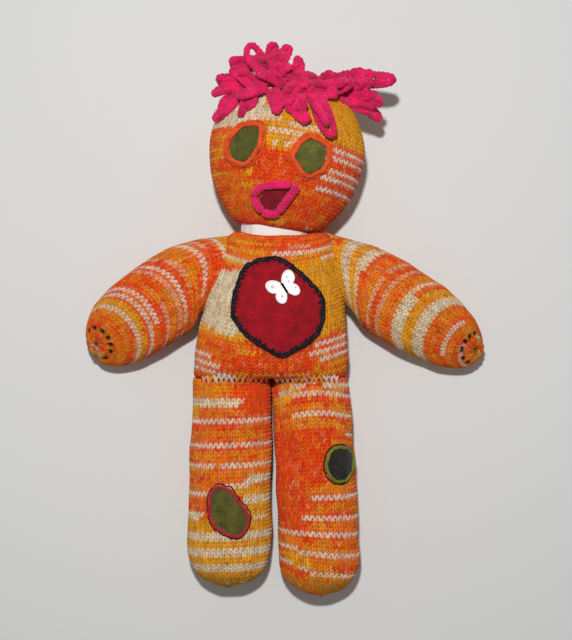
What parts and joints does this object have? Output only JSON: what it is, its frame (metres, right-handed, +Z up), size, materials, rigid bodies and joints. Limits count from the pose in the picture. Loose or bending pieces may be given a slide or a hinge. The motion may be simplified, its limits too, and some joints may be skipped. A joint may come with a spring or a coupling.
{
  "type": "knitted doll",
  "caption": "Stuffed hand-knitted doll in striped yarn with felt face and patches, loop hair, sewn-on limbs and a butterfly button, lying on its back.",
  "frame": {"origin": "on the surface that the doll lies on, under the middle of its body", "axes": "+Z up from the surface, out of the doll's front; +Y towards its head; +X towards its left hand"},
  "size_m": [0.2429, 0.3294, 0.0818],
  "materials": {
    "knit": "matte",
    "filling": "matte",
    "cotton": "matte",
    "eye_felt": "matte",
    "eye_yarn": "matte",
    "mouth_felt": "matte",
    "lip_yarn": "matte",
    "chest_felt": "matte",
    "black_yarn": "matte",
    "button": "satin",
    "knee_felt": "matte",
    "knee_yarn": "matte",
    "dark_felt": "matte",
    "green_yarn": "matte",
    "hair_yarn": "matte"
  },
  "bodies": {
    "torso": {"torso_skin": "knit", "torso_stuffing": "filling", "chest_patch": "chest_felt", "chest_stitching": "black_yarn", "butterfly_button": "button", "button_thread": "black_yarn"},
    "neck": {"neck_cover": "cotton", "neck_stuffing": "filling"},
    "head": {"head_skin": "knit", "head_stuffing": "filling", "right_eye_felt": "eye_felt", "left_eye_felt": "eye_felt", "right_eye_outline": "eye_yarn", "left_eye_outline": "eye_yarn", "mouth_felt": "mouth_felt", "mouth_outline": "lip_yarn", "hair_right_bunch": "hair_yarn", "hair_fringe": "hair_yarn", "hair_left_bunch": "hair_yarn"},
    "right_arm": {"right_arm_skin": "knit", "right_arm_stuffing": "filling", "right_hand_gather": "knit"},
    "left_arm": {"left_arm_skin": "knit", "left_arm_stuffing": "filling", "left_hand_gather": "knit"},
    "right_leg": {"right_leg_skin": "knit", "right_leg_stuffing": "filling", "right_foot_gather": "knit", "right_knee_patch": "knee_felt", "right_knee_stitching": "knee_yarn"},
    "left_leg": {"left_leg_skin": "knit", "left_leg_stuffing": "filling", "left_foot_gather": "knit", "left_knee_patch": "dark_felt", "left_knee_stitching": "green_yarn"}
  },
  "joints": [
    {"name": "neck_nod", "type": "hinge", "parent": "torso", "child": "neck", "pos_m": [0.0032, 0.04385, 0.048], "axis": [1, 0, 0], "range_deg": [0, 20]},
    {"name": "head_turn", "type": "hinge", "parent": "neck", "child": "head", "pos_m": [0.0032, 0.0461, 0.031], "axis": [0, 1, 0], "range_deg": [-35, 35]},
    {"name": "right_shoulder", "type": "hinge", "parent": "torso", "child": "right_arm", "pos_m": [-0.03039, 0.02, 0.0455], "axis": [0.3256, 0.9455, 0], "range_deg": [0, 75]},
    {"name": "left_shoulder", "type": "hinge", "parent": "torso", "child": "left_arm", "pos_m": [0.03951, 0.02232, 0.0455], "axis": [0.2419, -0.9703, 0], "range_deg": [0, 75]},
    {"name": "right_hip", "type": "hinge", "parent": "torso", "child": "right_leg", "pos_m": [-0.0228, -0.04395, 0.043], "axis": [-1, 0, 0], "range_deg": [0, 85]},
    {"name": "left_hip", "type": "hinge", "parent": "torso", "child": "left_leg", "pos_m": [0.0245, -0.04395, 0.043], "axis": [-1, 0, 0], "range_deg": [0, 85]}
  ]
}
